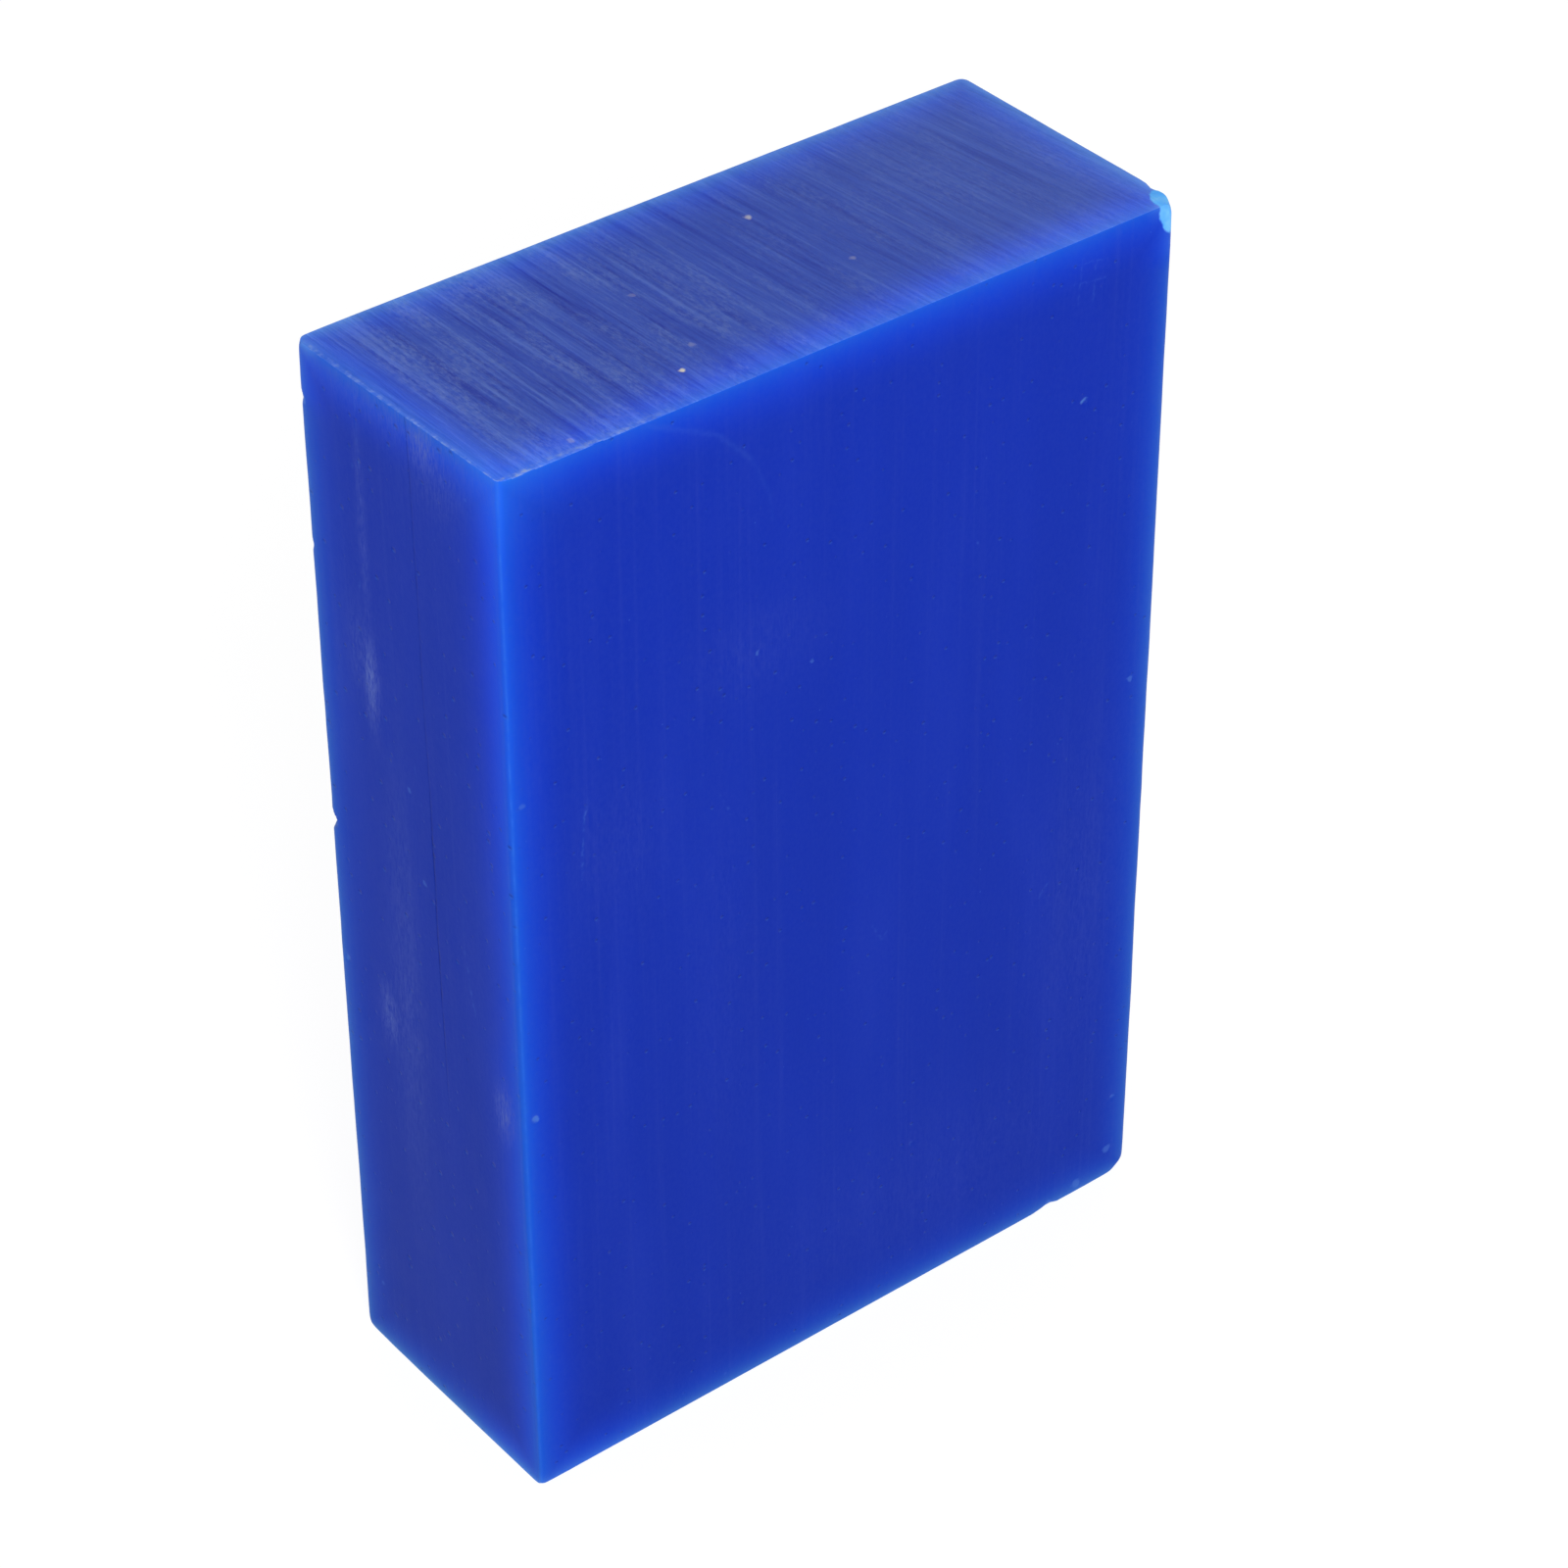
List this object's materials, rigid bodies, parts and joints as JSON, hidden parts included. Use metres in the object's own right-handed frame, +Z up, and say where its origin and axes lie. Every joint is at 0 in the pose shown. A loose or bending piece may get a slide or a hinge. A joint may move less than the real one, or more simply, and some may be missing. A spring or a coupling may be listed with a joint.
{
  "type": "wax bar",
  "caption": "Solid rectangular bar of hard, translucent blue wax with softened long edges, a saw-cut upper end and a chipped corner.",
  "frame": {"origin": "middle of the lower, cast end, on the surface the bar stands on", "axes": "+Z up along the length to the sawn end, X across the width, Y across the thickness, the broad front side towards -Y"},
  "size_m": [0.0922, 0.0364, 0.1405],
  "materials": {
    "blue_wax": "hard blue wax, satin on the cast sides, dull and finely scored on the sawn end, lighter and translucent towards every edge"
  },
  "bodies": {
    "root": {"wax_bar": "blue_wax"}
  },
  "joints": []
}
